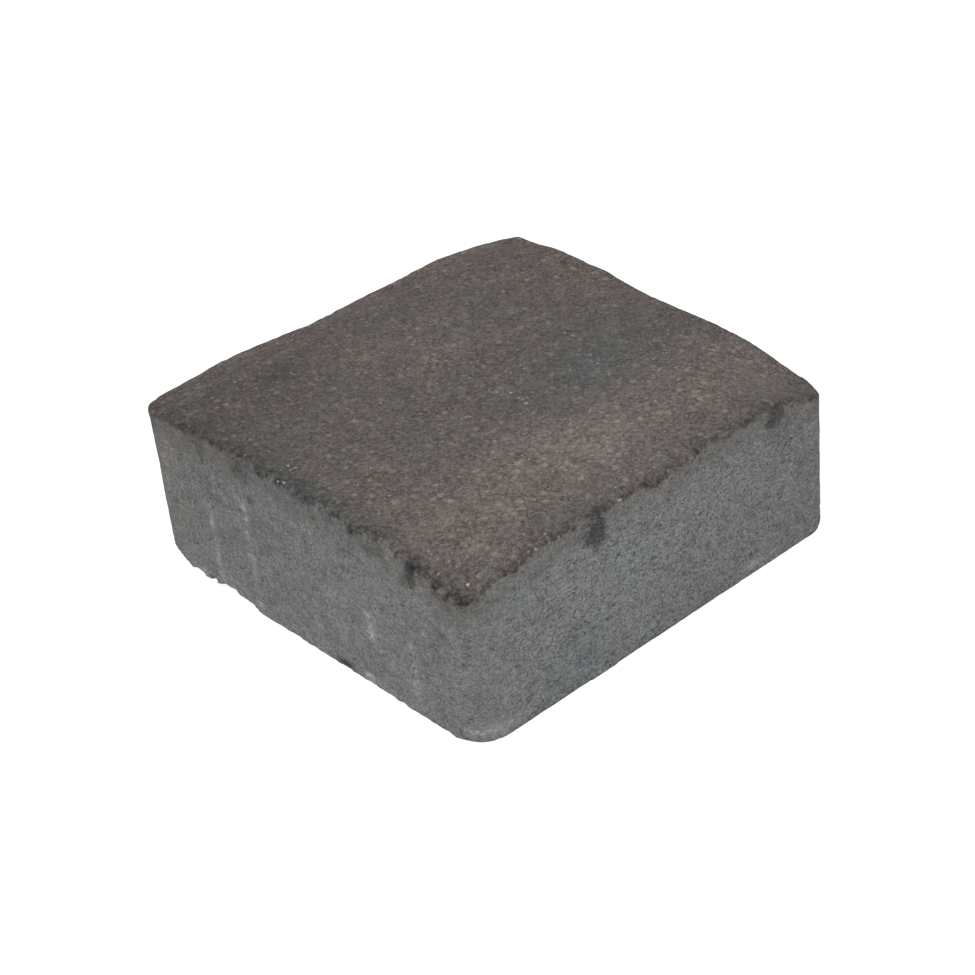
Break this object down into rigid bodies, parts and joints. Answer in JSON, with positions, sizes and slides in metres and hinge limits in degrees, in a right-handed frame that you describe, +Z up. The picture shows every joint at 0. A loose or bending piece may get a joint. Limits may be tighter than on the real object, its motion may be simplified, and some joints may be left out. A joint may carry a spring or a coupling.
{
  "type": "concrete paver",
  "caption": "Square cast concrete paver with upright moulded walls, rounded corners and a wavy, stone-like face of darker face mix.",
  "frame": {"origin": "middle of the flat underside", "axes": "+Z up through the wavy face; X and Y along the walls of the square"},
  "size_m": [0.16, 0.16, 0.0616],
  "materials": {
    "concrete": "cast grey concrete with a brown and charcoal blended face"
  },
  "bodies": {
    "root": {"paver": "concrete"}
  },
  "joints": []
}
